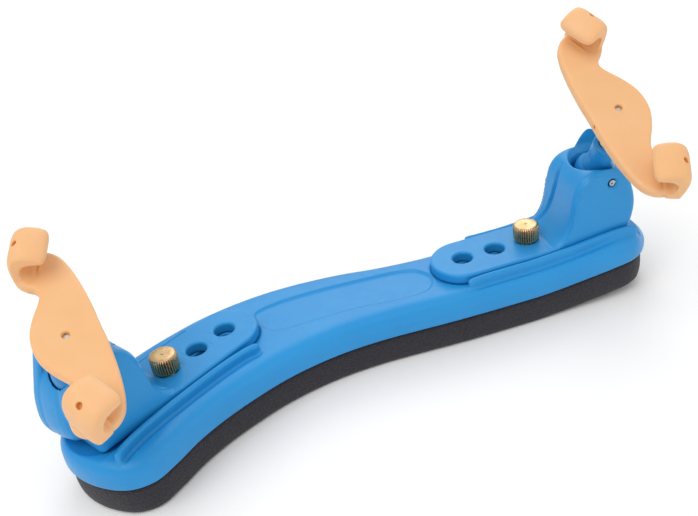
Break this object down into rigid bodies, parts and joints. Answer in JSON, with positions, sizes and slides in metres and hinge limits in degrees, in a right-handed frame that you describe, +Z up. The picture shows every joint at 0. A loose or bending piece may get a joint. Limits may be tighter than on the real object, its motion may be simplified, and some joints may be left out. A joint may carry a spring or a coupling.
{
  "type": "violin shoulder rest",
  "caption": "Curved blue shoulder rest on a black foam pad, with clamped sliding feet and padded forks that fold, tilt and swivel.",
  "frame": {"origin": "middle of the object's bounding box in plan, at the surface the foam pad stands on", "axes": "+X along the plate toward the shoulder (right-hand) foot, +Y toward the side away from the camera, +Z up"},
  "size_m": [0.2102, 0.0848, 0.1007],
  "materials": {
    "blue_plastic": "satin injection moulded blue plastic",
    "joint_plastic": "satin blue plastic, a little darker",
    "black_foam": "cut closed-cell foam, dull black",
    "peach_rubber": "soft moulded peach rubber, satin",
    "brass": "turned and knurled brass",
    "steel": "bright steel",
    "core_nylon": "plain moulded nylon"
  },
  "bodies": {
    "base": {"base_plate": "blue_plastic", "foam_pad": "black_foam"},
    "right_foot_body": {"right_foot": "blue_plastic", "right_nut_bar": "brass", "right_hinge_pin": "steel"},
    "right_thumbscrew_body": {"right_thumbscrew": "brass"},
    "right_drum_body": {"right_pivot_drum": "joint_plastic", "right_outer_tilt_pin": "steel", "right_inner_tilt_pin": "steel"},
    "right_yoke_body": {"right_yoke": "joint_plastic"},
    "right_fork_body": {"right_fork_stud": "steel", "right_fork_core": "core_nylon", "right_fork_grip": "peach_rubber"},
    "left_foot_body": {"left_foot": "blue_plastic", "left_nut_bar": "brass", "left_hinge_pin": "steel"},
    "left_thumbscrew_body": {"left_thumbscrew": "brass"},
    "left_drum_body": {"left_pivot_drum": "joint_plastic", "left_outer_tilt_pin": "steel", "left_inner_tilt_pin": "steel"},
    "left_yoke_body": {"left_yoke": "joint_plastic"},
    "left_fork_body": {"left_fork_stud": "steel", "left_fork_core": "core_nylon", "left_fork_grip": "peach_rubber"}
  },
  "joints": [
    {"name": "right_foot_slide", "type": "slide", "parent": "base", "child": "right_foot_body", "axis": [0.9963, -0.0863, 0], "range_m": [0, 0.0242]},
    {"name": "right_thumbscrew_turn", "type": "hinge", "parent": "right_foot_body", "child": "right_thumbscrew_body", "pos_m": [0.0625, 0.01384, 0.024], "axis": [0, 0, 1], "continuous": true},
    {"name": "right_fork_fold", "type": "hinge", "parent": "right_foot_body", "child": "right_drum_body", "pos_m": [0.08929, 0.01151, 0.0436], "axis": [0.0863, 0.9963, 0], "range_deg": [-20, 28]},
    {"name": "right_fork_tilt", "type": "hinge", "parent": "right_drum_body", "child": "right_yoke_body", "pos_m": [0.08929, 0.01151, 0.0436], "axis": [0.991, -0.0858, 0.1028], "range_deg": [-63.2, 0.2]},
    {"name": "right_fork_swivel", "type": "hinge", "parent": "right_yoke_body", "child": "right_fork_body", "pos_m": [0.08438, -0.00752, 0.07507], "axis": [-0.1324, -0.513, 0.8481], "range_deg": [-25, 25]},
    {"name": "left_foot_slide", "type": "slide", "parent": "base", "child": "left_foot_body", "axis": [-0.8918, -0.4524, 0], "range_m": [0, 0.0242]},
    {"name": "left_thumbscrew_turn", "type": "hinge", "parent": "left_foot_body", "child": "left_thumbscrew_body", "pos_m": [-0.06835, 0.01071, 0.024], "axis": [0, 0, 1], "continuous": true},
    {"name": "left_fork_fold", "type": "hinge", "parent": "left_foot_body", "child": "left_drum_body", "pos_m": [-0.09234, -0.00146, 0.0436], "axis": [0.4524, -0.8918, 0], "range_deg": [-35, 16]},
    {"name": "left_fork_tilt", "type": "hinge", "parent": "left_drum_body", "child": "left_yoke_body", "pos_m": [-0.09234, -0.00146, 0.0436], "axis": [-0.8857, -0.4493, -0.1167], "range_deg": [-5.6, 46.2]},
    {"name": "left_fork_swivel", "type": "hinge", "parent": "left_yoke_body", "child": "left_fork_body", "pos_m": [-0.09133, -0.00757, 0.05944], "axis": [0.0594, -0.3589, 0.9315], "range_deg": [-25, 25]}
  ]
}
